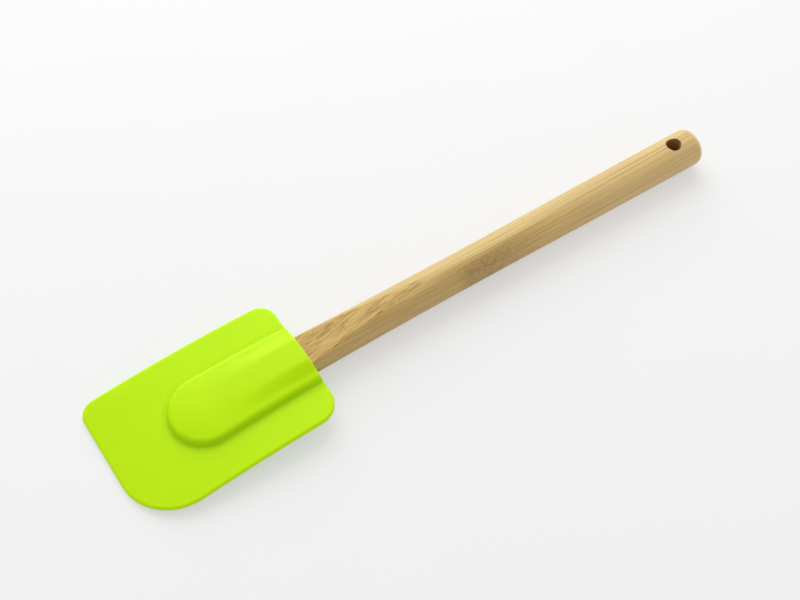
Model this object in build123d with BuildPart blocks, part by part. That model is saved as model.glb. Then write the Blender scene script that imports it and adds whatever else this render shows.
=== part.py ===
from build123d import *
import math
import os

# Spatula with a moulded silicone head on a laminated bamboo handle.
# It lies flat, its face up. +X runs from the blade to the free end of the handle and +Z is up.
# The origin is on the table, under the middle of the whole spatula.
# Lengths are in millimetres and angles in degrees.

# Handle: a turned bamboo stick, sanded to a flat tongue where the head goes on
handle_reach = 215.8          # from the mouth of the head to the free end
mouth_half_width = 9.0        # the stick flares to this where it enters the head
waist_radius = 8.3
waist_place = 75.0            # from the mouth
swell_radius = 8.75
swell_place = 150.0           # from the mouth
end_radius = 8.95
end_rounding = 3.8            # rim of the free end
scarf_place = 65.0            # from the mouth, where the sanded faces run out
scarf_lead = 0.1              # how far above the waist they do so
mouth_half_thickness = 4.65   # between the sanded faces, at the mouth
tongue_length = 34.0          # inside the head
nose_radius = 8.6             # the tongue's round end, seen from above
nose_half_thickness = 2.6
hang_hole_radius = 3.5
hang_hole_inset = 13.4        # from the free end to the hole's axis

# Glue line between the two bamboo strips, a little askew to the stick
glue_line_offset = 5.1        # from the axis at the mouth
glue_line_skew = 1.31

# Head: one silicone moulding
head_length = 92.5
shoulder_width = 64.3         # across the end at the handle
tip_width = 67.6              # across the scraping end, before its corners are rounded
right_shoulder_radius = 7.8
right_tip_radius = 7.2
left_tip_radius = 24.5        # the large corner that follows a bowl
left_shoulder_radius = 10.6
root_thickness = 2.8
tip_thickness = 2.1
blade_edge_bevel = 0.55       # softens the edge all round

# Boss: the thick tongue in the middle of the head, alike on both faces
boss_length = 64.0
boss_end_radius = 16.1
boss_flare = 1.2              # each side spreads towards the round end
boss_half_thickness = 4.4     # from the middle of the blade, at the mouth
boss_tip_half_thickness = 4.3
boss_edge_bevel = 0.9
mouth_lean = 7.0              # the boss's end face leans back from the blade

# Hump: the boss rises over the stick and runs out along it
hump_length = 40.0
hump_half_width = 12.4
hump_half_height = 6.9        # at the mouth, from the axis
hump_sink = 0.15              # depth of its skirt in the boss

pocket_clearance = 0.2        # gap round the tongue in its pocket
overrun = 5.0                 # how far cutting shapes pass what they cut

# Hump outline: places from the middle to the foot, and the height at each
hump_across_shares = (0.0, 0.5, 0.76, 1.0)
hump_rise_shares = (1.0, 0.9, 0.42, 0.0)
# Hump along the stick: places from the mouth to its end, and the height at each
hump_along_shares = (0.0, 0.33, 0.67, 1.0)
hump_fade_shares = (1.0, 0.7, 0.3, -0.03)

# The handle's end and the blade's soft tip both lie on the table
axis_height = end_radius
blade_droop = axis_height - tip_thickness / 2

mouth_x = (head_length - handle_reach) / 2
mouth_centre = (mouth_x, 0, axis_height)

plan_plane = Plane(origin=mouth_centre)
side_plane = Plane(origin=mouth_centre, x_dir=(1, 0, 0), z_dir=(0, -1, 0))
mouth_plane = Plane(origin=mouth_centre, x_dir=(0, 1, 0), z_dir=(1, 0, 0))
handle_axis = Axis(mouth_centre, (1, 0, 0))


def droop_at(distance):
    """How far the middle of the blade hangs below the axis, so far from the mouth."""
    return blade_droop * (distance / head_length) ** 2


def make_stick(clearance):
    """The whole bamboo stick, grown by a clearance when it is the shape of the pocket."""
    nose = nose_radius + clearance
    tongue_end = -tongue_length - clearance
    waist_top = waist_radius + clearance
    swell_top = swell_radius + clearance
    end_top = end_radius + clearance
    scarf_height = waist_radius + scarf_lead + clearance
    mouth_height = mouth_half_thickness + clearance
    nose_height = nose_half_thickness + clearance
    outer = 2 * mouth_half_width
    past_tongue = tongue_end - overrun
    past_end = handle_reach + overrun
    with BuildPart() as stick:
        with BuildSketch(side_plane):
            with BuildLine():
                Polyline((tongue_end, 0), (tongue_end, nose), (0, mouth_half_width + clearance))
                TangentArc((waist_place, waist_top), (0, mouth_half_width + clearance), tangent=(-1, 0))
                TangentArc((waist_place, waist_top), (swell_place, swell_top), tangent=(1, 0))
                Line((swell_place, swell_top), (handle_reach - end_rounding, end_top))
                CenterArc((handle_reach - end_rounding, end_top - end_rounding), end_rounding, 0, 90)
                Polyline((handle_reach, end_top - end_rounding), (handle_reach, 0), (tongue_end, 0))
            make_face()
        revolve(axis=handle_axis)
        with BuildSketch(side_plane):
            with BuildLine():
                Polyline((past_tongue, nose_height), (-tongue_length, nose_height), (0, mouth_height))
                TangentArc((scarf_place, scarf_height), (0, mouth_height), tangent=(-1, 0))
                Polyline(
                    (scarf_place, scarf_height),
                    (scarf_place, outer),
                    (past_end, outer),
                    (past_end, -outer),
                    (scarf_place, -outer),
                    (scarf_place, -scarf_height),
                )
                TangentArc((scarf_place, -scarf_height), (0, -mouth_height), tangent=(-1, 0))
                Polyline((0, -mouth_height), (-tongue_length, -nose_height), (past_tongue, -nose_height))
                Line((past_tongue, -nose_height), (past_tongue, nose_height))
            make_face()
        extrude(amount=outer, both=True, mode=Mode.INTERSECT)
        # The tongue's round end, seen from above
        with BuildSketch(plan_plane.offset(-outer)):
            with Locations((tongue_end + nose, 0)):
                Circle(nose)
                Rectangle(past_end - tongue_end, 2 * outer, align=(Align.MIN, Align.CENTER))
        extrude(amount=2 * outer, mode=Mode.INTERSECT)
    return stick.part


def make_slab(length, root_half, tip_half, width):
    """A slab that hangs with the blade: its side view, drawn across the whole width."""
    hang = droop_at(length)
    with BuildPart() as slab:
        with BuildSketch(side_plane):
            with BuildLine():
                TangentArc((0, root_half), (-length, tip_half - hang), tangent=(-1, 0))
                Line((-length, tip_half - hang), (-length, -tip_half - hang))
                TangentArc((0, -root_half), (-length, -tip_half - hang), tangent=(-1, 0))
                Line((0, -root_half), (0, root_half))
            make_face()
        extrude(amount=width, both=True)
    return slab.part


def hump_section(distance, fade, side):
    """One outline across the hump, so far from the mouth."""
    foot = boss_half_thickness - side * droop_at(distance) - hump_sink
    rise = (hump_half_height - boss_half_thickness) * fade + hump_sink
    across = [-share for share in reversed(hump_across_shares[1:])] + list(hump_across_shares)
    rises = list(reversed(hump_rise_shares[1:])) + list(hump_rise_shares)
    points = [
        (hump_half_width * place, side * (foot + rise * height))
        for place, height in zip(across, rises)
    ]
    with BuildSketch(mouth_plane.offset(-distance)) as section:
        with BuildLine():
            Spline(*points, tangents=((1, 0), (1, 0)))
            Polyline(points[-1], (hump_half_width, 0), (-hump_half_width, 0), points[0])
        make_face()
    return section.sketch


def make_hump(side):
    """The rise over the stick, on the upper face for side 1 and the lower face for side -1."""
    sections = []
    for along, fade in zip(hump_along_shares, hump_fade_shares):
        sections.append(hump_section(hump_length * along, fade, side))
    with BuildPart() as hump:
        loft(sections)
    return hump.part


# The bamboo stick, drilled, then parted along its glue line
with BuildPart() as stick:
    add(make_stick(0))
    with Locations((mouth_x + handle_reach - hang_hole_inset, 0, axis_height)):
        Hole(hang_hole_radius)

skew = math.radians(glue_line_skew)
glue_plane = Plane(
    origin=(mouth_x, -glue_line_offset, axis_height),
    x_dir=(math.cos(skew), math.sin(skew), 0),
    z_dir=(-math.sin(skew), math.cos(skew), 0),
)

with BuildPart() as bamboo_strip_right:
    add(stick.part)
    split(bisect_by=glue_plane, keep=Keep.TOP)

with BuildPart() as bamboo_strip_left:
    add(stick.part)
    split(bisect_by=glue_plane, keep=Keep.BOTTOM)

# The blade: its side view cut to its outline, with softened edges
blade_corners = (
    ((0, shoulder_width / 2), right_shoulder_radius),
    ((-head_length, tip_width / 2), right_tip_radius),
    ((-head_length, -tip_width / 2), left_tip_radius),
    ((0, -shoulder_width / 2), left_shoulder_radius),
)

with BuildPart() as blade:
    add(make_slab(head_length, root_thickness / 2, tip_thickness / 2, tip_width))
    with BuildSketch(plan_plane) as blade_plan:
        with BuildLine():
            Polyline([corner for corner, radius in blade_corners], close=True)
        make_face()
        for corner, radius in blade_corners:
            fillet(blade_plan.vertices().sort_by_distance(corner)[0], radius)
    extrude(amount=blade_droop + boss_half_thickness, both=True, mode=Mode.INTERSECT)
    blade_faces = blade.faces().sort_by(SortBy.AREA)[-2:]
    chamfer(blade_faces.edges(), blade_edge_bevel)

# The boss: straight flared sides that run into a round end
flare = math.radians(boss_flare)
lean = math.radians(mouth_lean)
boss_end_centre = boss_end_radius - boss_length
boss_mouth_half_width = boss_end_radius / math.cos(flare) + boss_end_centre * math.tan(flare)
side_run = (boss_end_centre + boss_end_radius * math.sin(flare), boss_end_radius * math.cos(flare))

with BuildPart() as boss:
    add(make_slab(boss_length, boss_half_thickness, boss_tip_half_thickness, tip_width))
    with BuildSketch(plan_plane):
        with BuildLine():
            Line((0, boss_mouth_half_width), side_run)
            ThreePointArc(side_run, (-boss_length, 0), (side_run[0], -side_run[1]))
            Line((side_run[0], -side_run[1]), (0, -boss_mouth_half_width))
            Line((0, -boss_mouth_half_width), (0, boss_mouth_half_width))
        make_face()
    extrude(amount=blade_droop + boss_half_thickness, both=True, mode=Mode.INTERSECT)
    boss_faces = boss.faces().sort_by(SortBy.AREA)[-2:]
    mouth_edges = boss.edges().group_by(Axis.X)[-1]
    chamfer([edge for edge in boss_faces.edges() if edge not in mouth_edges], boss_edge_bevel)
    for side in (1, -1):
        add(make_hump(side))
        mouth_face = Plane(
            origin=(mouth_x, 0, axis_height + side * root_thickness / 2),
            x_dir=(0, 1, 0),
            z_dir=(math.cos(lean), 0, side * math.sin(lean)),
        )
        split(bisect_by=mouth_face, keep=Keep.BOTTOM)

with BuildPart() as silicone_head:
    add(boss.part)
    add(blade.part)
    add(make_stick(pocket_clearance), mode=Mode.SUBTRACT)

silicone_head.part.label = "silicone_head"
bamboo_strip_right.part.label = "bamboo_strip_right"
bamboo_strip_left.part.label = "bamboo_strip_left"

os.makedirs("parts", exist_ok=True)
export_step(silicone_head.part, "parts/silicone_head.step")
export_step(bamboo_strip_right.part, "parts/bamboo_strip_right.step")
export_step(bamboo_strip_left.part, "parts/bamboo_strip_left.step")
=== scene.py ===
import math

import bmesh
import bpy
from bpy.props import FloatProperty, FloatVectorProperty, IntProperty, PointerProperty
from mathutils import Euler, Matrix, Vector
from mathutils.geometry import delaunay_2d_cdt


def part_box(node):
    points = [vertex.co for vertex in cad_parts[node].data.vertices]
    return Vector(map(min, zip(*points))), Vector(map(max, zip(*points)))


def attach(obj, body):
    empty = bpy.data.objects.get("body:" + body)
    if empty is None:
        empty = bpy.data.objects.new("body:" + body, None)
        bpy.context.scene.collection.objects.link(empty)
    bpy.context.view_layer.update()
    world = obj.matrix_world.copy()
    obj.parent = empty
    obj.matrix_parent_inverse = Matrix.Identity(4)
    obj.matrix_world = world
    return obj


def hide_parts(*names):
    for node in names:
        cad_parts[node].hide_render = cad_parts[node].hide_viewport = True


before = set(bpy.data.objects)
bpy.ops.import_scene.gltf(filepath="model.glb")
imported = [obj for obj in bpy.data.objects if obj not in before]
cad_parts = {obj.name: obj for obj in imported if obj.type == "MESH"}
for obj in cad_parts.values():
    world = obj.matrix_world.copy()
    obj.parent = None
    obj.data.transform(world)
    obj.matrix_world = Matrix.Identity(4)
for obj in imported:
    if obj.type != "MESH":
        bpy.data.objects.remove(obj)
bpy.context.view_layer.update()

bl_info = {
    "name": "Silicone Spatula",
    "version": (1, 0, 0),
    "blender": (4, 5, 0),
    "location": "View3D > Sidebar > Spatula",
    "description": "A silicone spatula with a laminated bamboo handle, on a pale table",
    "category": "Object",
}

# All lengths are in metres. The head's mouth and the handle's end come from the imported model.
MM = 0.001
HEAD_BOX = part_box("silicone_head")
STRIP_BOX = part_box("bamboo_strip_right")
MOUTH_X = HEAD_BOX[1].x
HEAD_LENGTH = HEAD_BOX[1].x - HEAD_BOX[0].x
REACH = STRIP_BOX[1].x - MOUTH_X
TONGUE_LENGTH = MOUTH_X - STRIP_BOX[0].x
END_RADIUS = (STRIP_BOX[1].z - STRIP_BOX[0].z) / 2
# Faces that meet at more than this keep a sharp edge between them
SHARP_ANGLE = math.radians(40)
# Spacing of points along the head's outlines
OUTLINE_STEP = 0.9 * MM
# Share of the boss's crown that stands above its own height, the rest being taken off its edges
CROWN_ABOVE = 0.6
# Share of the hump's half width that stays level
HUMP_LEVEL = 0.41


def linear(hexcode):
    """The linear colour of an sRGB hex value"""
    parts = [int(hexcode[i:i + 2], 16) / 255 for i in (0, 2, 4)]
    shades = [c / 12.92 if c <= 0.04045 else ((c + 0.055) / 1.055) ** 2.4 for c in parts]
    return (*shades, 1.0)


def length_value(name, description, default):
    """A length that the user can change"""
    return FloatProperty(name=name, description=description, default=default, unit="LENGTH", precision=5)


def angle_value(name, description, degrees):
    """An angle that the user can change"""
    return FloatProperty(
        name=name, description=description, default=math.radians(degrees), subtype="ANGLE")


def colour_value(name, description, hexcode):
    """A colour that the user can change"""
    return FloatVectorProperty(
        name=name, description=description, default=linear(hexcode), size=4, min=0.0, max=1.0,
        subtype="COLOR")


class HandleSizes(bpy.types.PropertyGroup):
    """Sizes of the bamboo handle, which is turned round and sanded to a flat tongue"""

    reach: length_value("Reach", "From the mouth of the head to the free end", REACH)
    tongue_length: length_value("Tongue", "Length of the flat tongue inside the head", TONGUE_LENGTH)
    mouth_radius: length_value(
        "Radius at mouth", "The stick flares to this where it enters the head", 9.0 * MM)
    waist_radius: length_value("Waist radius", "Thinnest place of the stick", 8.3 * MM)
    waist_place: length_value("Waist place", "From the mouth to the thinnest place", 75 * MM)
    swell_radius: length_value("Swell radius", "Radius further along the grip", 8.75 * MM)
    swell_place: length_value("Swell place", "From the mouth to that radius", 150 * MM)
    end_radius: length_value("End radius", "Radius at the free end", END_RADIUS)
    end_rounding: length_value("End rounding", "Rounded rim of the free end", 3.8 * MM)
    nose_radius: length_value("Nose radius", "Round end of the tongue, seen from above", 8.6 * MM)
    nose_half_thickness: length_value(
        "Nose half thickness", "Half the tongue's thickness at its end", 2.6 * MM)
    mouth_half_thickness: length_value(
        "Half thickness at mouth", "From the axis to a sanded face, at the mouth", 4.65 * MM)
    scarf_place: length_value("Scarf place", "From the mouth to where the sanded faces run out", 65 * MM)
    scarf_lead: length_value("Scarf lead", "How far above the waist they do so", 0.1 * MM)
    scarf_softness: length_value("Scarf softness", "Rounding of the sanded face's edges", 0.9 * MM)
    hole_radius: length_value("Hole radius", "Radius of the hanging hole", 3.5 * MM)
    hole_inset: length_value("Hole inset", "From the free end to the hole's axis", 13.4 * MM)
    hole_break: length_value("Hole break", "Rounded edge of the hanging hole", 0.45 * MM)
    glue_offset: length_value(
        "Glue line offset", "From the stick's axis to the glue line, at the mouth", 5.1 * MM)
    glue_skew: angle_value("Glue line skew", "Angle between the glue line and the stick", 1.31)
    steps_around: IntProperty(
        name="Steps around", description="Faces round the stick", default=144, min=24)


class HeadSizes(bpy.types.PropertyGroup):
    """Sizes of the silicone head"""

    length: length_value("Length", "From the mouth to the scraping end", HEAD_LENGTH)
    shoulder_width: length_value("Shoulder width", "Across the end at the handle", 64.3 * MM)
    tip_width: length_value("Tip width", "Across the scraping end, before its corners are rounded", 67.6 * MM)
    right_shoulder_radius: length_value("Right shoulder", "Corner radius", 7.8 * MM)
    right_tip_radius: length_value("Right tip", "Corner radius", 7.2 * MM)
    left_tip_radius: length_value("Left tip", "Large corner that follows a bowl", 24.5 * MM)
    left_shoulder_radius: length_value("Left shoulder", "Corner radius", 10.6 * MM)
    root_thickness: length_value("Root thickness", "Of the blade at the shoulders", 2.8 * MM)
    tip_thickness: length_value("Tip thickness", "Of the blade at the scraping end", 2.1 * MM)
    edge_rounding: length_value("Edge rounding", "Rounding of the blade's edge", 0.85 * MM)
    boss_length: length_value("Boss length", "The thick tongue in the middle of the head", 64.0 * MM)
    boss_end_radius: length_value("Boss end radius", "Round end of the boss", 16.1 * MM)
    boss_flare: angle_value("Boss flare", "Angle by which each side spreads towards the round end", 1.2)
    boss_half_thickness: length_value(
        "Boss half thickness", "From the middle of the blade, at the mouth", 4.4 * MM)
    boss_tip_half_thickness: length_value("Boss end half thickness", "The same at the round end", 4.3 * MM)
    boss_crown: length_value("Boss crown", "How far the middle of the boss stands above its edges", 1.1 * MM)
    boss_rounding: length_value("Boss rounding", "Rounded upper edge of the boss", 2.0 * MM)
    boss_draft: angle_value("Boss draft", "Lean of the boss's side wall", 8)
    boss_root_rounding: length_value(
        "Boss root rounding", "Hollow rounding where the boss meets the blade", 1.3 * MM)
    hump_length: length_value("Hump length", "How far the rise over the stick runs out", 46.0 * MM)
    hump_half_width: length_value("Hump half width", "Half the width of the rise at its foot", 12.4 * MM)
    hump_half_height: length_value(
        "Hump half height", "From the handle's axis to the top of the rise", 6.9 * MM)
    mouth_lean: angle_value("Mouth lean", "Lean of the end face at the mouth, back from the blade", 7)
    mouth_rounding: length_value("Mouth rounding", "Rounded lip at the mouth", 0.7 * MM)
    pocket_clearance: length_value("Pocket clearance", "Gap round the tongue in its pocket", 0.2 * MM)


class Finishes(bpy.types.PropertyGroup):
    """Colours of the silicone, the bamboo and the table, with the silicone's painted fold shade and painted
    edge glow
    """

    silicone: colour_value("Silicone", "Colour of the head", "c6f302")
    silicone_cloud: colour_value("Silicone cloud", "Its faint clouds", "cbf704")
    # Painted shade for the fold at the boss's foot
    silicone_fold_shade: colour_value("Silicone fold", "The fold at the boss's foot", "7fc400")
    # Painted glow for the blade's thin edge, standing in for light that passes through it
    silicone_edge_glow: colour_value("Silicone edge", "The blade's thin edge", "d2ff18")
    right_ground: colour_value("Right strip", "Ground of the right bamboo strip", "e0c87e")
    right_bands: colour_value("Right bands", "Its broad bands", "d6b86c")
    left_ground: colour_value("Left strip", "Ground of the left bamboo strip", "e9c881")
    left_bands: colour_value("Left bands", "Its broad bands", "e0bc76")
    table: colour_value("Table", "Colour of the table top", "f0f0f0")


class StudioSettings(bpy.types.PropertyGroup):
    """Table, lights and camera"""

    table_width: length_value("Table width", "Side of the square table top", 6.0)
    view_distance: length_value("Distance", "From the camera to the point that it looks at", 604 * MM)
    view_height: angle_value("View height", "Angle of the view above the table", 55.835)
    view_turn: angle_value("View turn", "Turn of the view from the part's Y axis", -33.303)
    view_lens: FloatProperty(
        name="Focal length", description="On a sensor 36 mm wide", default=60.75, unit="CAMERA")
    view_target: FloatVectorProperty(
        name="Target", description="Point that the camera looks at", subtype="XYZ", unit="LENGTH",
        precision=5, default=(-8.39 * MM, 6.53 * MM, 0.22 * MM))
    key_power: FloatProperty(
        name="Key light", description="Power of the large soft panel at the back right",
        default=11.4, unit="POWER")
    key_width: length_value("Key width", "Width of the round panel", 1400 * MM)
    key_distance: length_value("Key distance", "From the panel to the part", 1080 * MM)
    key_height: angle_value("Key height", "Height of the panel above the table", 37)
    key_turn: angle_value("Key turn", "Turn of the panel from the part's Y axis, towards the free end", 22)
    sky_strength: FloatProperty(
        name="Sky", description="Strength of the even light from all round", default=0.55)
    backdrop_strength: FloatProperty(
        name="Backdrop", description="Brightness of the backdrop that the camera sees past the table",
        default=0.86)


def add_node(tree, kind, inputs=(), **settings):
    """
    Adds a node, sets its options, and fills or links its inputs, which are named or in order.
    A node given as an input is linked by its first output that is in use.
    """
    node = tree.nodes.new(kind)
    for name, value in settings.items():
        setattr(node, name, value)
    for key, value in inputs.items() if isinstance(inputs, dict) else enumerate(inputs):
        if isinstance(value, bpy.types.Node):
            value = next(socket for socket in value.outputs if socket.enabled)
        if isinstance(value, bpy.types.NodeSocket):
            tree.links.new(value, node.inputs[key])
        else:
            node.inputs[key].default_value = value
    return node


def new_material(name):
    """An empty node material and its tree"""
    material = bpy.data.materials.new(name)
    material.use_nodes = True
    material.node_tree.nodes.clear()
    return material, material.node_tree


def layered(tree, colour, layers):
    """Lays colours over one another in order, each as strong as the product of the masks before it"""
    for strength, *masks, shade in layers:
        for mask in masks:
            strength = add_node(tree, "ShaderNodeMath", (strength, mask), operation="MULTIPLY")
        colour = add_node(tree, "ShaderNodeMix", {
            "Factor": strength, "A": colour, "B": shade}, data_type="RGBA")
    return colour


def stretched_noise(tree, place, cells, detail, turn=0.0, distortion=0.0):
    """Noise with cells of a real size, given in millimetres along, across and through the stick"""
    stretched = add_node(tree, "ShaderNodeMapping", {
        "Vector": place, "Rotation": (0, 0, math.radians(turn)),
        "Scale": [size * MM for size in cells]}, vector_type="TEXTURE")
    return add_node(tree, "ShaderNodeTexNoise", {
        "Vector": stretched, "Scale": 1.0, "Detail": detail, "Distortion": distortion})


def moulded_silicone(sizes, finish):
    """Silicone rubber pressed in a satin mould: wide soft highlights, and light that enters a little way; the
    fold's shade and the thin edge's glow are painted
    """
    material, tree = new_material("moulded_lime_silicone")
    coordinates = add_node(tree, "ShaderNodeTexCoord").outputs
    place = coordinates["Object"]
    # Faint cloudiness of the pigment, about 15 mm across
    cloud = add_node(tree, "ShaderNodeTexNoise", {"Vector": place, "Scale": 1 / (15 * MM), "Detail": 2.0})
    # Distance outside the boss's foot line, whose round end has its centre on the part's X axis
    spot = add_node(tree, "ShaderNodeSeparateXYZ", {"Vector": place}).outputs
    end_centre = MOUTH_X - sizes.boss_length + sizes.boss_end_radius
    past_centre = add_node(tree, "ShaderNodeMath", (spot["X"], end_centre), operation="SUBTRACT")
    past_end = add_node(tree, "ShaderNodeMath", (past_centre, 0.0), operation="MINIMUM")
    across = add_node(tree, "ShaderNodeCombineXYZ", (past_end, spot["Y"]))
    from_centre = add_node(tree, "ShaderNodeVectorMath", (across,), operation="LENGTH")
    outside = add_node(tree, "ShaderNodeMath", (from_centre, sizes.boss_end_radius), operation="SUBTRACT")
    # Painted shade: in the fold at the foot, light bounces between the walls and deepens to green, and this
    # shade is painted in here
    fold_shade_in = add_node(tree, "ShaderNodeMapRange", {
        "Value": outside, "From Min": -1.6 * MM, "From Max": 0.0}, interpolation_type="SMOOTHSTEP")
    fold_shade_out = add_node(tree, "ShaderNodeMapRange", {
        "Value": outside, "From Min": 0.3 * MM, "From Max": 4.0 * MM, "To Min": 0.18, "To Max": 0.0},
        interpolation_type="SMOOTHERSTEP")
    # Painted glow: the thin edge of the blade lets light through and looks paler, and this light is painted
    # in as well
    facing = add_node(tree, "ShaderNodeSeparateXYZ", {"Vector": coordinates["Normal"]}).outputs
    upright = add_node(tree, "ShaderNodeMath", (facing["Z"],), operation="ABSOLUTE")
    edge = add_node(tree, "ShaderNodeMapRange", {
        "Value": upright, "From Min": 0.35, "From Max": 0.85, "To Min": 0.9, "To Max": 0.0})
    clear_of_boss = add_node(tree, "ShaderNodeMapRange", {
        "Value": outside, "From Min": 4 * MM, "From Max": 7 * MM})
    colour = layered(tree, finish.silicone, (
        (cloud, finish.silicone_cloud), (fold_shade_in, fold_shade_out, finish.silicone_fold_shade),
        (edge, clear_of_boss, finish.silicone_edge_glow)))
    # The mould's fine blasted grain is under 0.1 mm, and drawn at 0.35 mm so that it shows
    grain = add_node(tree, "ShaderNodeTexNoise", {"Vector": place, "Scale": 1 / (0.35 * MM), "Detail": 3.0})
    bump = add_node(tree, "ShaderNodeBump", {"Height": grain, "Strength": 0.25, "Distance": 0.01 * MM})
    gloss = add_node(tree, "ShaderNodeMapRange", {"Value": cloud, "To Min": 0.40, "To Max": 0.46})
    surface = add_node(tree, "ShaderNodeBsdfPrincipled", {
        "Base Color": colour, "Roughness": gloss, "Normal": bump, "IOR": 1.41, "Specular IOR Level": 0.17,
        "Subsurface Weight": 0.6, "Subsurface Radius": (1.0, 1.1, 0.3), "Subsurface Scale": 1.6 * MM})
    add_node(tree, "ShaderNodeOutputMaterial", {"Surface": surface})
    return material


def sanded_mask(tree, sizes, before, level):
    """1 on the sanded faces of the stick and 0 on its round part, from the distance before their end"""
    square = add_node(tree, "ShaderNodeMath", (before, before), operation="MULTIPLY")
    scarf_height = sizes.waist_radius + sizes.scarf_lead
    fall = (sizes.mouth_half_thickness - scarf_height) / sizes.scarf_place ** 2
    face = add_node(tree, "ShaderNodeMath", (square, fall, scarf_height), operation="MULTIPLY_ADD")
    middle = add_node(tree, "ShaderNodeMath", (level, END_RADIUS), operation="SUBTRACT")
    height = add_node(tree, "ShaderNodeMath", (middle,), operation="ABSOLUTE")
    below_face = add_node(tree, "ShaderNodeMath", (face, height), operation="SUBTRACT")
    on_face = add_node(tree, "ShaderNodeMapRange", {
        "Value": below_face, "From Min": 0.12 * MM, "From Max": 0.35 * MM, "To Min": 1.0, "To Max": 0.0})
    run_out = add_node(tree, "ShaderNodeMapRange", {
        "Value": before, "From Min": 1 * MM, "From Max": 7 * MM})
    return add_node(tree, "ShaderNodeMath", (on_face, run_out), operation="MULTIPLY")


def sanded_bamboo(name, shades, sizes, has_node):
    """Strip bamboo, turned, sanded and oiled: golden ground, with brown fibre bundles along the stick, a
    painted highlight on the free end's rim and painted shade in the hanging hole
    """
    material, tree = new_material(name)
    place = add_node(tree, "ShaderNodeTexCoord").outputs["Object"]
    spot = add_node(tree, "ShaderNodeSeparateXYZ", {"Vector": place}).outputs
    from_mouth = add_node(tree, "ShaderNodeMath", (spot["X"], MOUTH_X), operation="SUBTRACT")
    # Each layer is one mask or more, and the colour that they lay on what is below
    layers = []
    # The fibres run nearly straight, and wander by a quarter of a millimetre over several centimetres
    drift = stretched_noise(tree, place, (80, 12, 12), 1.0).outputs["Color"]
    centred = add_node(tree, "ShaderNodeVectorMath", (drift, (0.5, 0.5, 0.5)), operation="SUBTRACT")
    sway = add_node(tree, "ShaderNodeVectorMath", (centred, (0.0, 1.0 * MM, 1.0 * MM)), operation="MULTIPLY")
    wandered = add_node(tree, "ShaderNodeVectorMath", (place, sway), operation="ADD")
    # Broad bands of the ground, about 4 mm wide
    layers.append((stretched_noise(tree, wandered, (110, 4, 4), 1.0), shades[1]))
    # Fine fibre lines, about 0.4 mm wide and several centimetres long, fainter in the strip with the node
    lines = stretched_noise(tree, wandered, (75, 0.42, 0.42), 2.0)
    line_strength = 0.55 if has_node else 0.75
    line_depth = add_node(tree, "ShaderNodeMapRange", {
        "Value": lines, "From Min": 0.38, "From Max": 0.66, "To Max": line_strength})
    layers.append((line_depth, shades[2]))
    # Broader brown bands of bundles, 1.1 mm wide, most of them towards the free end
    streak = add_node(tree, "ShaderNodeMapRange", {
        "Value": stretched_noise(tree, wandered, (140, 1.1, 1.1), 1.0),
        "From Min": 0.5, "From Max": 0.72}, interpolation_type="SMOOTHSTEP")
    towards_end = add_node(tree, "ShaderNodeMapRange", {
        "Value": from_mouth, "From Min": 95 * MM, "From Max": 175 * MM, "To Min": 0.12, "To Max": 0.5},
        interpolation_type="SMOOTHSTEP")
    layers.append((streak, towards_end, shades[3]))
    if has_node:
        # Towards the free end this strip pales to the tone of the other one
        paling = add_node(tree, "ShaderNodeMapRange", {
            "Value": from_mouth, "From Min": 110 * MM, "From Max": 175 * MM, "To Max": 0.6},
            interpolation_type="SMOOTHSTEP")
        layers.append((paling, linear("e9c988")))
        # The culm's node: darker, with specks 2 mm long and half a millimetre wide, fading along the strip
        speck = add_node(tree, "ShaderNodeMapRange", {
            "Value": stretched_noise(tree, place, (2.0, 0.45, 0.45), 2.0), "From Min": 0.3, "From Max": 0.7})
        speckled = layered(tree, linear("c9a866"), [(speck, linear("997542"))])
        node_start = add_node(tree, "ShaderNodeMapRange", {
            "Value": from_mouth, "From Min": 74 * MM, "From Max": 82 * MM, "To Min": 0.35},
            interpolation_type="SMOOTHSTEP")
        node_end = add_node(tree, "ShaderNodeMapRange", {
            "Value": from_mouth, "From Min": 88 * MM, "From Max": 132 * MM, "To Min": 0.8, "To Max": 0.0},
            interpolation_type="SMOOTHSTEP")
        layers.append((node_start, node_end, speckled))
    # Where the stick is sanded flat, its ground is raw and yellower
    raw_strength = 0.55
    before = add_node(tree, "ShaderNodeMath", (sizes.scarf_place, from_mouth), operation="SUBTRACT")
    sanded = sanded_mask(tree, sizes, before, spot["Z"])
    layers.append((sanded, raw_strength, linear("d4ae55")))
    # There the bundles are cut across to feathery dashes, in loose patches 16 mm long and 4 mm wide
    dashes = stretched_noise(tree, wandered, (7, 0.5, 3), 3.0, turn=6, distortion=1.0)
    dash = add_node(tree, "ShaderNodeMapRange", {
        "Value": dashes, "From Min": 0.46, "From Max": 0.58, "To Max": 0.95})
    patch = add_node(tree, "ShaderNodeMapRange", {
        "Value": stretched_noise(tree, place, (16, 4, 4), 1.0),
        "From Min": 0.36, "From Max": 0.56, "To Min": 0.4})
    layers.append((dash, patch, sanded, linear("a87a22")))
    # Near the sanded face's point it meets darker bundles
    point_near = add_node(tree, "ShaderNodeMapRange", {
        "Value": before, "From Min": 5 * MM, "From Max": 9 * MM})
    point_far = add_node(tree, "ShaderNodeMapRange", {
        "Value": before, "From Min": 12 * MM, "From Max": 17 * MM, "To Min": 1.0, "To Max": 0.0})
    point = add_node(tree, "ShaderNodeMath", (point_near, point_far), operation="MULTIPLY")
    dark_dash = add_node(tree, "ShaderNodeMapRange", {
        "Value": dashes, "From Min": 0.5, "From Max": 0.6, "To Max": 0.8})
    layers.append((dark_dash, point, sanded, linear("784f12")))
    # Painted highlight: the rounded rim of the free end is painted paler, where light catches it
    rim = add_node(tree, "ShaderNodeMapRange", {
        "Value": from_mouth, "From Min": sizes.reach - 4.0 * MM, "From Max": sizes.reach - 1.2 * MM,
        "To Max": 0.45})
    layers.append((rim, linear("f2e2b8")))
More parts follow.
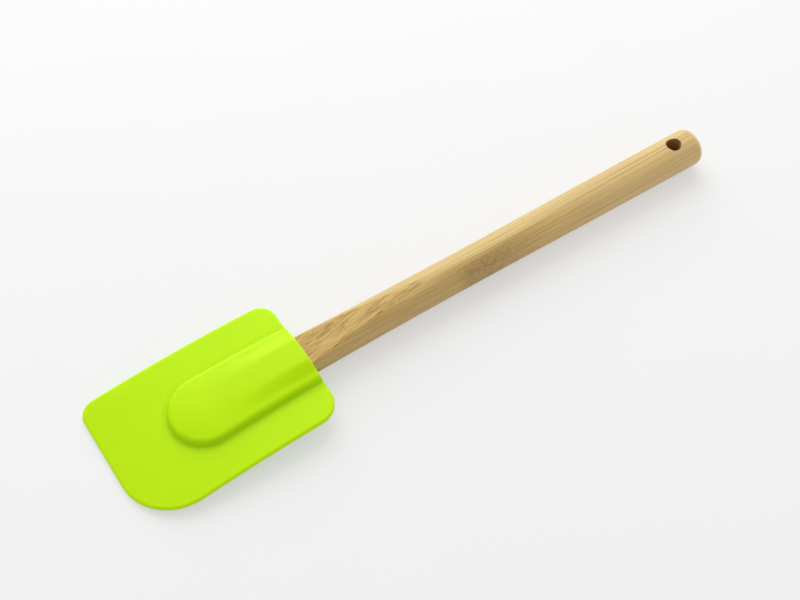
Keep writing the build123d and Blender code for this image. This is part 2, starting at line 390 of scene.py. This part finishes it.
    # Painted shade: the wall of the hanging hole is darkened at any depth, for the shade inside the hole
    from_hole = add_node(tree, "ShaderNodeMapping", {
        "Vector": place, "Location": (MOUTH_X + sizes.reach - sizes.hole_inset, 0, 0),
        "Scale": (1, 1, 1e6)}, vector_type="TEXTURE")
    hole_reach = add_node(tree, "ShaderNodeVectorMath", (from_hole,), operation="LENGTH")
    painted_hole_shade = add_node(tree, "ShaderNodeMapRange", {
        "Value": hole_reach, "From Min": sizes.hole_radius,
        "From Max": sizes.hole_radius + sizes.hole_break, "To Min": 0.65, "To Max": 0.0})
    layers.append((painted_hole_shade, linear("7d4a26")))
    # Bundles are harder than the ground, so sanding leaves them 0.02 mm proud
    bump = add_node(tree, "ShaderNodeBump", {"Height": lines, "Strength": 0.35, "Distance": 0.02 * MM})
    # Open grain is a little rougher than the bundles
    gloss = add_node(tree, "ShaderNodeMapRange", {"Value": lines, "To Min": 0.52, "To Max": 0.38})
    surface = add_node(tree, "ShaderNodeBsdfPrincipled", {
        "Base Color": layered(tree, shades[0], layers), "Normal": bump, "Roughness": gloss, "IOR": 1.5,
        "Sheen Weight": 0.34, "Sheen Roughness": 0.35, "Sheen Tint": linear("fffbe0")})
    add_node(tree, "ShaderNodeOutputMaterial", {"Surface": surface})
    return material


def pale_table(colour):
    """Matt laminate table top: pale and even, and bright to the camera as a studio sweep is"""
    material, tree = new_material("pale_matt_laminate")
    place = add_node(tree, "ShaderNodeTexCoord").outputs["Object"]
    # Hardly visible clouds, 60 mm across
    cloud = add_node(tree, "ShaderNodeTexNoise", {"Vector": place, "Scale": 1 / (60 * MM)})
    surface = add_node(tree, "ShaderNodeBsdfPrincipled", {
        "Base Color": layered(tree, colour, [(cloud, linear("f3f3f3"))]),
        "Roughness": 0.9, "Specular IOR Level": 0.1})
    # Half of what the camera sees of it is an even glow
    glow = add_node(tree, "ShaderNodeEmission", {"Color": linear("fbfbfb"), "Strength": 1.0})
    seen = add_node(tree, "ShaderNodeLightPath").outputs["Is Camera Ray"]
    half_seen = add_node(tree, "ShaderNodeMath", (seen, 0.5), operation="MULTIPLY")
    mixed = add_node(tree, "ShaderNodeMixShader", (half_seen, surface, glow))
    add_node(tree, "ShaderNodeOutputMaterial", {"Surface": mixed})
    return material


def new_object(name, data):
    """Puts a mesh, light or camera in the scene as an object at the origin"""
    made = bpy.data.objects.new(name, data)
    bpy.context.scene.collection.objects.link(made)
    return made


def finish_modifiers(made):
    """Replaces the object's mesh by what its modifiers make of it, and removes them"""
    bpy.context.view_layer.update()
    graph = bpy.context.evaluated_depsgraph_get()
    shaped = bpy.data.meshes.new_from_object(made.evaluated_get(graph), depsgraph=graph)
    made.modifiers.clear()
    made.data = shaped
    return made


def arc_steps(radius, turn, step):
    """How many steps an arc needs for a given length of step, three at least"""
    return max(3, round(abs(turn) * radius / step))


def stick_profile(sizes, clearance):
    """The stick's outline from the tongue's nose to the free end: places from the mouth, and radii"""
    nose = sizes.nose_radius + clearance
    nose_centre = sizes.nose_radius - sizes.tongue_length
    end = sizes.end_radius + clearance
    rim_place = sizes.reach - sizes.end_rounding
    neck_fall = (sizes.mouth_radius - sizes.waist_radius) / sizes.waist_place ** 2
    swell_run = sizes.swell_place - sizes.waist_place
    swell_rise = (sizes.swell_radius - sizes.waist_radius) / swell_run ** 2
    end_slope = (sizes.end_radius - sizes.swell_radius) / (rim_place - sizes.swell_place)
    line = []
    nose_steps = 24
    for step in range(nose_steps):
        turn = math.pi / 2 * step / nose_steps
        line.append((nose_centre - nose * math.cos(turn), nose * math.sin(turn)))
    length_step = 0.8 * MM
    tongue_steps = round(-nose_centre / length_step)
    for step in range(tongue_steps):
        share = step / tongue_steps
        line.append((nose_centre * (1 - share), nose + (sizes.mouth_radius + clearance - nose) * share))
    grip_steps = round(rim_place / length_step)
    for step in range(grip_steps):
        place = rim_place * step / grip_steps
        if place < sizes.waist_place:
            radius = sizes.waist_radius + neck_fall * (sizes.waist_place - place) ** 2
        elif place < sizes.swell_place:
            radius = sizes.waist_radius + swell_rise * (place - sizes.waist_place) ** 2
        else:
            radius = sizes.swell_radius + end_slope * (place - sizes.swell_place)
        line.append((place, radius + clearance))
    rim_steps = 12
    for step in range(rim_steps + 1):
        turn = math.pi / 2 * step / rim_steps
        rounding = sizes.end_rounding * (1 - math.cos(turn))
        line.append((rim_place + sizes.end_rounding * math.sin(turn), end - rounding))
    face = end - sizes.end_rounding
    for share in (0.75, 0.5, 0.25, 0.0):
        line.append((sizes.reach, face * share))
    return line


def turning_tree():
    """Geometry Nodes that turn a profile line about the stick's axis and sand it flat above and below"""
    tree = bpy.data.node_groups.new("Turned and sanded stick", "GeometryNodeTree")
    floats = (
        "Axis Height", "Scarf Place", "Scarf Height", "Scarf Fall", "Scarf Softness",
        "Mouth Place", "Mouth Height", "Tongue Slope")
    for name, kind in (
        ("Profile", "Geometry"), ("Steps Around", "Int"), *((name, "Float") for name in floats),
        ("Material", "Material"),
    ):
        tree.interface.new_socket(name, in_out="INPUT", socket_type="NodeSocket" + kind)
    tree.interface.new_socket("Stick", in_out="OUTPUT", socket_type="NodeSocketGeometry")
    sizes = add_node(tree, "NodeGroupInput").outputs
    # A flat sheet, with one row for each point of the profile, is rolled up round the axis
    points = add_node(tree, "GeometryNodeAttributeDomainSize", {"Geometry": sizes["Profile"]})
    count = points.outputs["Point Count"]
    columns = add_node(tree, "ShaderNodeMath", (sizes["Steps Around"], 1.0), operation="ADD")
    sheet = add_node(tree, "GeometryNodeMeshGrid", {
        "Size X": 1.0, "Size Y": 1.0, "Vertices X": count, "Vertices Y": columns})
    position = add_node(tree, "GeometryNodeInputPosition").outputs["Position"]
    spot = add_node(tree, "ShaderNodeSeparateXYZ", {"Vector": position}).outputs
    last_row = add_node(tree, "ShaderNodeMath", (count, 1.0), operation="SUBTRACT")
    along = add_node(tree, "ShaderNodeMath", (spot["X"], 0.5), operation="ADD")
    row = add_node(tree, "ShaderNodeMath", (along, last_row), operation="MULTIPLY")
    row_number = add_node(tree, "ShaderNodeMath", (row,), operation="ROUND")
    outline = add_node(tree, "GeometryNodeSampleIndex", {
        "Geometry": sizes["Profile"], "Value": position, "Index": row_number}, data_type="FLOAT_VECTOR")
    ring = add_node(tree, "ShaderNodeSeparateXYZ", {"Vector": outline}).outputs
    turn = add_node(tree, "ShaderNodeMath", (spot["Y"], math.tau), operation="MULTIPLY")
    across_share = add_node(tree, "ShaderNodeMath", (turn,), operation="COSINE")
    up_share = add_node(tree, "ShaderNodeMath", (turn,), operation="SINE")
    across = add_node(tree, "ShaderNodeMath", (ring["Y"], across_share), operation="MULTIPLY")
    up = add_node(tree, "ShaderNodeMath", (ring["Y"], up_share), operation="MULTIPLY")
    # The sanded faces fall away with the square of the distance from where they run out
    before = add_node(tree, "ShaderNodeMath", (sizes["Scarf Place"], ring["X"]), operation="SUBTRACT")
    beyond = add_node(tree, "ShaderNodeMath", (before,), operation="ABSOLUTE")
    square = add_node(tree, "ShaderNodeMath", (before, beyond), operation="MULTIPLY")
    fall = add_node(tree, "ShaderNodeMath", (square, sizes["Scarf Fall"]), operation="MULTIPLY")
    scarf = add_node(tree, "ShaderNodeMath", (sizes["Scarf Height"], fall), operation="SUBTRACT")
    # Inside the head the tongue goes on as a straight taper
    past_mouth = add_node(tree, "ShaderNodeMath", (ring["X"], sizes["Mouth Place"]), operation="SUBTRACT")
    tongue = add_node(tree, "ShaderNodeMath", (
        past_mouth, sizes["Tongue Slope"], sizes["Mouth Height"]), operation="MULTIPLY_ADD")
    face = add_node(tree, "ShaderNodeMath", (scarf, tongue), operation="MAXIMUM")
    height = add_node(tree, "ShaderNodeMath", (up,), operation="ABSOLUTE")
    side = add_node(tree, "ShaderNodeMath", (up,), operation="SIGN")
    sanded = add_node(tree, "ShaderNodeMath", (
        height, face, sizes["Scarf Softness"]), operation="SMOOTH_MIN")
    signed = add_node(tree, "ShaderNodeMath", (sanded, side), operation="MULTIPLY")
    level = add_node(tree, "ShaderNodeMath", (signed, sizes["Axis Height"]), operation="ADD")
    place = add_node(tree, "ShaderNodeCombineXYZ", (ring["X"], across, level))
    rolled = add_node(tree, "GeometryNodeSetPosition", {"Geometry": sheet, "Position": place})
    closed = add_node(tree, "GeometryNodeMergeByDistance", {"Geometry": rolled, "Distance": 0.001 * MM})
    real = add_node(tree, "GeometryNodeRealizeInstances", {"Geometry": closed})
    finished = add_node(tree, "GeometryNodeSetMaterial", {
        "Geometry": real, "Material": sizes["Material"]})
    add_node(tree, "NodeGroupOutput", {"Stick": finished})
    return tree


def turned_stick(name, sizes, clearance, material):
    """The whole stick as a closed mesh, grown by a clearance where it is the shape of the pocket"""
    line = stick_profile(sizes, clearance)
    profile = bpy.data.meshes.new(name)
    points = [(MOUTH_X + place, radius, 0) for place, radius in line]
    profile.from_pydata(points, [(i, i + 1) for i in range(len(points) - 1)], [])
    made = new_object(name, profile)
    tree = bpy.data.node_groups.get("Turned and sanded stick") or turning_tree()
    turning = made.modifiers.new("Turning", "NODES")
    turning.node_group = tree
    scarf_height = sizes.waist_radius + sizes.scarf_lead
    taper = sizes.mouth_half_thickness - sizes.nose_half_thickness
    values = {
        "Steps Around": sizes.steps_around,
        "Axis Height": sizes.end_radius,
        "Scarf Place": MOUTH_X + sizes.scarf_place,
        "Scarf Height": scarf_height + clearance,
        "Scarf Fall": (scarf_height - sizes.mouth_half_thickness) / sizes.scarf_place ** 2,
        "Scarf Softness": sizes.scarf_softness,
        "Mouth Place": MOUTH_X,
        "Mouth Height": sizes.mouth_half_thickness + clearance,
        "Tongue Slope": taper / sizes.tongue_length,
        "Material": material,
    }
    for socket in tree.interface.items_tree:
        if socket.name in values:
            turning[socket.identifier] = values[socket.name]
    return finish_modifiers(made)


def ring_solid(name, rings):
    """A closed mesh from rings of points in order, with a cap at each end"""
    count = len(rings[0])
    faces = []
    for first in range(0, (len(rings) - 1) * count, count):
        for i in range(count):
            here, after = first + i, first + (i + 1) % count
            faces.append((here, after, after + count, here + count))
    faces.append(tuple(reversed(range(count))))
    faces.append(tuple((len(rings) - 1) * count + i for i in range(count)))
    mesh = bpy.data.meshes.new(name)
    mesh.from_pydata([point for ring in rings for point in ring], [], faces)
    return new_object(name, mesh)


def hole_cutter(sizes):
    """The drill for the hanging hole, flared where it leaves the stick so that the edge is rounded"""
    centre = MOUTH_X + sizes.reach - sizes.hole_inset
    above = 2 * MM
    # Each row is its radius, its depth under the stick's surface, and its height over it
    rows = []
    for turn in range(0, 81, 16):
        angle = math.radians(turn)
        rows.append((sizes.hole_radius + sizes.hole_break * (1 - math.cos(angle)),
                     sizes.hole_break * (1 - math.sin(angle)), 0))
    rows.append((sizes.hole_radius + sizes.hole_break, 0, above))
    upper = []
    steps = 64
    for radius, drop, lift in rows:
        ring = []
        for step in range(steps):
            turn = math.tau * step / steps
            y = radius * math.sin(turn)
            surface = math.sqrt(sizes.end_radius ** 2 - y ** 2)
            ring.append((centre + radius * math.cos(turn), y, surface - drop + lift))
        upper.append(ring)
    lower = [[(x, y, sizes.end_radius - z) for x, y, z in ring] for ring in reversed(upper)]
    raised = [[(x, y, sizes.end_radius + z) for x, y, z in ring] for ring in upper]
    return ring_solid("hole_cutter", lower + raised)


def cut(made, tool, operation):
    """Cuts a mesh with another, keeps the result as a plain mesh and removes the tool"""
    boolean = made.modifiers.new("Cut", "BOOLEAN")
    boolean.operation = operation
    boolean.solver = "EXACT"
    boolean.object = tool
    finish_modifiers(made)
    bpy.data.objects.remove(tool)


def glue_block(sizes, side):
    """A block that ends in the glue plane and covers one strip: side 1 is the right strip"""
    size = 2 * (sizes.reach + sizes.tongue_length)
    mesh = bpy.data.meshes.new("glue_block")
    shape = bmesh.new()
    bmesh.ops.create_cube(shape, size=size)
    bmesh.ops.translate(shape, verts=shape.verts, vec=(0, side * size / 2, 0))
    bmesh.ops.rotate(shape, verts=shape.verts, matrix=Euler((0, 0, sizes.glue_skew)).to_matrix())
    bmesh.ops.translate(shape, verts=shape.verts, vec=(MOUTH_X, -sizes.glue_offset, sizes.end_radius))
    shape.to_mesh(mesh)
    shape.free()
    return new_object("glue_block", mesh)


def finish_mesh(made, material):
    """Gives a piece its one material, and smooth shading with its sharp edges kept"""
    made.data.materials.clear()
    made.data.materials.append(material)
    for face in made.data.polygons:
        face.use_smooth = True
    made.data.set_sharp_from_angle(angle=SHARP_ANGLE)


def corner_arcs(sizes):
    """The blade's four corners in order: centre, radius, spokes to the arc's ends, and ways back and ahead"""
    shoulder, tip = sizes.shoulder_width / 2, sizes.tip_width / 2
    corners = (
        ((0, shoulder), sizes.right_shoulder_radius),
        ((sizes.length, tip), sizes.right_tip_radius),
        ((sizes.length, -tip), sizes.left_tip_radius),
        ((0, -shoulder), sizes.left_shoulder_radius),
    )
    arcs = []
    for i, (corner, radius) in enumerate(corners):
        here = Vector(corner)
        back = (Vector(corners[i - 1][0]) - here).normalized()
        ahead = (Vector(corners[(i + 1) % len(corners)][0]) - here).normalized()
        half = back.angle(ahead) / 2
        centre = here + (back + ahead).normalized() * radius / math.sin(half)
        first = Vector((back.y, -back.x))
        last = Vector((-ahead.y, ahead.x))
        arcs.append((centre, radius, first, last, back, ahead))
    return arcs


def blade_loop(arcs, inset, step):
    """The blade's outline, moved inwards, as points (distance from the mouth, y)"""
    points, ends = [], []
    for centre, radius, first, last, *_ in arcs:
        turn = first.angle_signed(last)
        count = arc_steps(radius, turn, step)
        arc = []
        for i in range(count + 1):
            angle = turn * i / count
            spoke = Vector((
                first.x * math.cos(angle) + first.y * math.sin(angle),
                first.y * math.cos(angle) - first.x * math.sin(angle)))
            arc.append(centre + spoke * (radius - inset))
        ends.append(arc)
    for i, arc in enumerate(ends):
        points.extend(arc)
        start, end = arc[-1], ends[(i + 1) % len(ends)][0]
        count = max(1, round((end - start).length / (2 * step)))
        points.extend(start.lerp(end, n / count) for n in range(1, count))
    return points


def blade_depth(arcs, point):
    """Distance from a point of the blade to its outline, inwards"""
    depth = math.inf
    for centre, radius, first, last, back, ahead in arcs:
        reach = point - centre
        if reach.dot(back) < 0 and reach.dot(ahead) < 0:
            return radius - reach.length
        depth = min(depth, radius - reach.dot(first), radius - reach.dot(last))
    return depth


def boss_depth(sizes, point):
    """Distance from a point to the boss's outline, inwards, where the boss goes on past the mouth"""
    centre = sizes.boss_length - sizes.boss_end_radius
    x, y = point.x - centre, abs(point.y)
    flare = sizes.boss_flare
    if x * math.cos(flare) + y * math.sin(flare) < 0:
        return sizes.boss_end_radius - (y * math.cos(flare) - x * math.sin(flare))
    return sizes.boss_end_radius - math.hypot(x, y)


def boss_line(sizes, inset, step):
    """The boss's outline, moved inwards, from the mouth round its end and back to the mouth"""
    radius = sizes.boss_end_radius - inset
    centre = sizes.boss_length - sizes.boss_end_radius
    flare = sizes.boss_flare
    tangent = Vector((centre - radius * math.sin(flare), radius * math.cos(flare)))
    mouth = Vector((0, tangent.y - tangent.x * math.tan(flare)))
    count = max(2, round(tangent.x / (1.5 * step)))
    side = [mouth.lerp(tangent, i / count) for i in range(count)]
    turns = arc_steps(sizes.boss_end_radius, math.pi, step)
    span = math.pi + 2 * flare
    arc = []
    for i in range(turns + 1):
        angle = math.pi / 2 + flare - span * i / turns
        arc.append(Vector((centre + radius * math.cos(angle), radius * math.sin(angle))))
    return side + arc + [Vector((p.x, -p.y)) for p in reversed(side)]


def boss_profile(sizes):
    """The boss's side seen from the end: places inwards from its outline, and shares of its height"""
    height = sizes.boss_half_thickness - sizes.root_thickness / 2
    lean = math.pi / 2 - sizes.boss_draft
    top, root = sizes.boss_rounding, sizes.boss_root_rounding
    wall = height - (top + root) * (1 - math.cos(lean))
    wall_run = wall / math.tan(lean)
    start = -root * math.sin(lean) - wall_run / 2
    root_steps, top_steps = 5, 9
    points = []
    for step in range(root_steps + 1):
        angle = lean * step / root_steps
        points.append((start + root * math.sin(angle), root * (1 - math.cos(angle))))
    wall_foot = points[-1]
    points.append((wall_foot[0] + wall_run / 2, wall_foot[1] + wall / 2))
    wall_top = (wall_foot[0] + wall_run, wall_foot[1] + wall)
    rim = wall_top[0] + top * math.sin(lean)
    for step in range(top_steps + 1):
        angle = lean * (1 - step / top_steps)
        points.append((rim - top * math.sin(angle), height - top * (1 - math.cos(angle))))
    return [(place, rise / height) for place, rise in points]


def between(points, place):
    """Straight-line reading of a table of points"""
    if place <= points[0][0]:
        return points[0][1]
    for (x0, y0), (x1, y1) in zip(points, points[1:]):
        if place <= x1:
            return y0 + (y1 - y0) * (place - x0) / (x1 - x0)
    return points[-1][1]


def smooth_step(share):
    """Rises from 0 to 1 with level ends"""
    share = min(1.0, max(0.0, share))
    return share * share * (3 - 2 * share)


def rounding_drop(radius, depth):
    """How far a rounded edge has dropped at a depth from the edge"""
    if depth >= radius:
        return 0.0
    return radius - math.sqrt(max(0.0, radius ** 2 - (radius - depth) ** 2))


def mouth_lip(sizes, rise, distance):
    """A rise above the blade, cut back near the mouth by the leaning end face and its rounded lip"""
    lean = sizes.mouth_lean
    radius = min(sizes.mouth_rounding, rise)
    centre = rise * math.tan(lean) + radius * math.tan((math.pi / 2 - lean) / 2)
    if distance >= centre:
        return rise
    if distance <= centre - radius * math.cos(lean):
        return max(0.0, distance) / math.tan(lean)
    return rise - radius + math.sqrt(radius ** 2 - (centre - distance) ** 2)


def mouth_reach(sizes):
    """How far from the mouth its leaning face and lip go"""
    rise = sizes.hump_half_height - sizes.root_thickness / 2
    return rise * math.tan(sizes.mouth_lean) + sizes.mouth_rounding


def head_half_height(sizes, arcs, profile, point):
    """Half the head's thickness at a point (distance from the mouth, y)"""
    share = min(1.0, max(0.0, point.x / sizes.length))
    blade = (sizes.root_thickness + (sizes.tip_thickness - sizes.root_thickness) * share) / 2
    run = min(1.0, point.x / sizes.boss_length)
    boss_top = sizes.boss_half_thickness + (sizes.boss_tip_half_thickness - sizes.boss_half_thickness) * run
    depth = boss_depth(sizes, point)
    edge_share = 1 - min(1.0, max(0.0, depth / sizes.boss_end_radius))
    boss_top += sizes.boss_crown * (CROWN_ABOVE - edge_share ** 2)
    side_share = (abs(point.y) / sizes.hump_half_width - HUMP_LEVEL) / (1 - HUMP_LEVEL)
    bell = 1 - smooth_step(side_share)
    fade = 1 - smooth_step(point.x / sizes.hump_length)
    hump = (sizes.hump_half_height - boss_top) * bell * fade
    drop = rounding_drop(sizes.edge_rounding, blade_depth(arcs, point))
    rise = (boss_top - blade) * between(profile, depth) + hump
    return blade - drop + mouth_lip(sizes, rise, point.x)


def head_plan(sizes, arcs, profile):
    """Points and lines of the head seen from above, closest where its surface bends most"""
    points, edges = [], []

    def add_line(line, closed):
        first = len(points)
        points.extend(line)
        edges.extend((first + i, first + i + 1) for i in range(len(line) - 1))
        if closed:
            edges.append((first + len(line) - 1, first))

    edge = sizes.edge_rounding
    for turn in range(0, 91, 15):
        add_line(blade_loop(arcs, edge * (1 - math.cos(math.radians(turn))), OUTLINE_STEP), True)
    # One more line on the flat beside each rounding keeps its shading from spreading
    beside_edge, beside_boss = 0.6 * MM, 0.5 * MM
    add_line(blade_loop(arcs, edge + beside_edge, OUTLINE_STEP), True)
    for place, _ in profile:
        add_line(boss_line(sizes, place, 0.8 * OUTLINE_STEP), False)
    for place in (profile[0][0] - beside_boss, profile[-1][0] + beside_boss):
        add_line(boss_line(sizes, place, OUTLINE_STEP), False)
    # Lines across the mouth's leaning face and its lip
    half = sizes.boss_end_radius
    lip_steps, lip_spacing = 12, 0.8 * MM
    count = round(2 * half / lip_spacing)
    for row in range(1, lip_steps + 1):
        x = edge / 2 + (mouth_reach(sizes) - edge / 2) * row / lip_steps
        add_line([Vector((x, half * (2 * i / count - 1))) for i in range(count + 1)], False)
    return points, edges


def grid_points(sizes, arcs, profile):
    """Loose points that fill the flat stretches, closer together under the hump"""
    found = []
    fine, wide = 0.75 * MM, 1.5 * MM
    # Room that they leave beside the plan's own lines
    edge_gap, root_gap, top_gap = 1.2 * MM, 1.1 * MM, 1.0 * MM
    half = sizes.tip_width / 2
    columns, rows = round(sizes.length / fine), round(half / fine)
    for i in range(1, columns):
        for j in range(-rows, rows + 1):
            point = Vector((i * fine, j * fine))
            on_hump = point.x < sizes.hump_length + wide and abs(point.y) < sizes.hump_half_width + wide
            if not on_hump and (i % 2 or j % 2):
                continue
            if blade_depth(arcs, point) < sizes.edge_rounding + edge_gap:
                continue
            if point.x < mouth_reach(sizes) + fine / 2:
                continue
            depth = boss_depth(sizes, point)
            if profile[0][0] - root_gap < depth < profile[-1][0] + top_gap:
                continue
            found.append(point)
    return found


def head_solid(sizes, droop):
    """The head before its pocket is cut: upper and lower faces of one plan, joined by a wall"""
    arcs = corner_arcs(sizes)
    profile = boss_profile(sizes)
    points, edges = head_plan(sizes, arcs, profile)
    points = points + grid_points(sizes, arcs, profile)
    # The first loop of the plan is the outline itself, and what lies inside it is kept
    outline = tuple(range(len(blade_loop(arcs, 0, OUTLINE_STEP))))
    inside_only, same_place = 1, 0.0005 * MM
    plan, _, faces, *_ = delaunay_2d_cdt(points, edges, [outline], inside_only, same_place)
    count = len(plan)
    places = []
    for side in (1, -1):
        for point in plan:
            half = head_half_height(sizes, arcs, profile, point)
            middle = END_RADIUS - droop * (max(0, point.x) / sizes.length) ** 2
            places.append((MOUTH_X - point.x, point.y, middle + side * half))
    solid = []
    # The sides that only one face has, in the order that they are met
    rim = {}
    for face in faces:
        solid.append(tuple(reversed(face)))
        solid.append(tuple(i + count for i in face))
        for i, j in zip(face, list(face[1:]) + [face[0]]):
            if (j, i) in rim:
                del rim[(j, i)]
            else:
                rim[(i, j)] = True
    for i, j in rim:
        solid.append((i, j, j + count, i + count))
    mesh = bpy.data.meshes.new("silicone_head_moulding")
    mesh.from_pydata(places, [], solid)
    return new_object("silicone_head_moulding", mesh)


class SPATULA_OT_make_head(bpy.types.Operator):
    """Builds the silicone head with its boss, hump and pocket"""

    bl_idname = "spatula.make_head"
    bl_label = "Make head"

    def execute(self, context):
        sizes = context.scene.spatula_head
        handle = context.scene.spatula_handle
        droop = END_RADIUS - sizes.tip_thickness / 2
        head = head_solid(sizes, droop)
        cut(head, turned_stick("pocket_shape", handle, sizes.pocket_clearance, None), "DIFFERENCE")
        finish_mesh(head, moulded_silicone(sizes, context.scene.spatula_finishes))
        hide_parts("silicone_head")
        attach(head, "head")
        return {"FINISHED"}


class SPATULA_OT_make_handle(bpy.types.Operator):
    """Turns the bamboo stick, drills it and parts it into its two glued strips"""

    bl_idname = "spatula.make_handle"
    bl_label = "Make handle"

    def execute(self, context):
        sizes = context.scene.spatula_handle
        finish = context.scene.spatula_finishes
        # Each strip's shades are its ground and bands, then its fibre lines and its brown streaks
        strips = (
            ("right", 1, "bamboo_light", (
                finish.right_ground, finish.right_bands, linear("b98f4a"), linear("9d6a30"))),
            ("left", -1, "bamboo_dark", (
                finish.left_ground, finish.left_bands, linear("b48947"), linear("9b622c"))),
        )
        for name, side, slot, shades in strips:
            material = sanded_bamboo("sanded_" + slot, shades, sizes, side < 0)
            strip = turned_stick("bamboo_" + name, sizes, 0, material)
            cut(strip, hole_cutter(sizes), "DIFFERENCE")
            cut(strip, glue_block(sizes, side), "INTERSECT")
            finish_mesh(strip, material)
            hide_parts("bamboo_strip_" + name)
            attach(strip, "handle")
        return {"FINISHED"}


def face_target(made, target, turn, height, distance, side):
    """Puts a light or camera at angles and a distance from a target, and points it there"""
    away = Vector((
        math.sin(turn) * math.cos(height), side * math.cos(turn) * math.cos(height), math.sin(height)))
    made.location = Vector(target) + away * distance
    made.rotation_euler = (-away).to_track_quat("-Z", "Y").to_euler()


class SPATULA_OT_make_studio(bpy.types.Operator):
    """Sets the table, the soft light and the camera"""

    bl_idname = "spatula.make_studio"
    bl_label = "Make studio"

    def execute(self, context):
        scene = context.scene
        studio = scene.spatula_studio
        half = studio.table_width / 2
        mesh = bpy.data.meshes.new("table")
        mesh.from_pydata(
            [(-half, -half, 0), (half, -half, 0), (half, half, 0), (-half, half, 0)], [], [(0, 1, 2, 3)])
        table = new_object("table", mesh)
        mesh.materials.append(pale_table(scene.spatula_finishes.table))

        panel = bpy.data.lights.new("soft_panel", "AREA")
        panel.shape = "DISK"
        panel.energy = studio.key_power
        panel.size = studio.key_width
        lamp = new_object("soft_panel", panel)
        lamp.visible_camera = False
        # The light stands behind the part, on the side of +Y, and the camera in front of it
        face_target(lamp, (0, 0, 0), studio.key_turn, studio.key_height, studio.key_distance, 1)

        world = bpy.data.worlds.new("even_sky")
        world.use_nodes = True
        tree = world.node_tree
        tree.nodes.clear()
        # Behind the table the camera sees a pale backdrop, which lights nothing
        seen = add_node(tree, "ShaderNodeLightPath").outputs["Is Camera Ray"]
        strength = add_node(tree, "ShaderNodeMapRange", {
            "Value": seen, "To Min": studio.sky_strength, "To Max": studio.backdrop_strength})
        sky = add_node(tree, "ShaderNodeBackground", {"Color": (1, 1, 1, 1), "Strength": strength})
        add_node(tree, "ShaderNodeOutputWorld", {"Surface": sky})
        scene.world = world

        lens = bpy.data.cameras.new("camera")
        lens.lens = studio.view_lens
        lens.sensor_width = 36
        camera = new_object("camera", lens)
        face_target(
            camera, studio.view_target, studio.view_turn, studio.view_height, studio.view_distance, -1)
        scene.camera = camera
        scene.view_settings.view_transform = "Standard"
        return {"FINISHED"}


class SPATULA_PT_panel(bpy.types.Panel):
    """The spatula's builders and sizes"""

    bl_label = "Spatula"
    bl_idname = "SPATULA_PT_panel"
    bl_space_type = "VIEW_3D"
    bl_region_type = "UI"
    bl_category = "Spatula"

    def draw(self, context):
        for maker in (SPATULA_OT_make_head, SPATULA_OT_make_handle, SPATULA_OT_make_studio):
            self.layout.operator(maker.bl_idname)
        for group in GROUPS:
            settings = getattr(context.scene, group)
            box = self.layout.box()
            for name in settings.bl_rna.properties.keys():
                if name not in ("rna_type", "name"):
                    box.prop(settings, name)


# The scene's groups of settings, by the names that the scene knows them by
GROUPS = {
    "spatula_head": HeadSizes,
    "spatula_handle": HandleSizes,
    "spatula_finishes": Finishes,
    "spatula_studio": StudioSettings,
}
CLASSES = (
    *GROUPS.values(), SPATULA_OT_make_head, SPATULA_OT_make_handle, SPATULA_OT_make_studio,
    SPATULA_PT_panel,
)


def register():
    for kind in CLASSES:
        bpy.utils.register_class(kind)
    for name, kind in GROUPS.items():
        setattr(bpy.types.Scene, name, PointerProperty(type=kind))


def unregister():
    for name in GROUPS:
        delattr(bpy.types.Scene, name)
    for kind in reversed(CLASSES):
        bpy.utils.unregister_class(kind)


def main():
    register()
    bpy.ops.spatula.make_head()
    bpy.ops.spatula.make_handle()
    bpy.ops.spatula.make_studio()


if __name__ == "__main__":
    main()
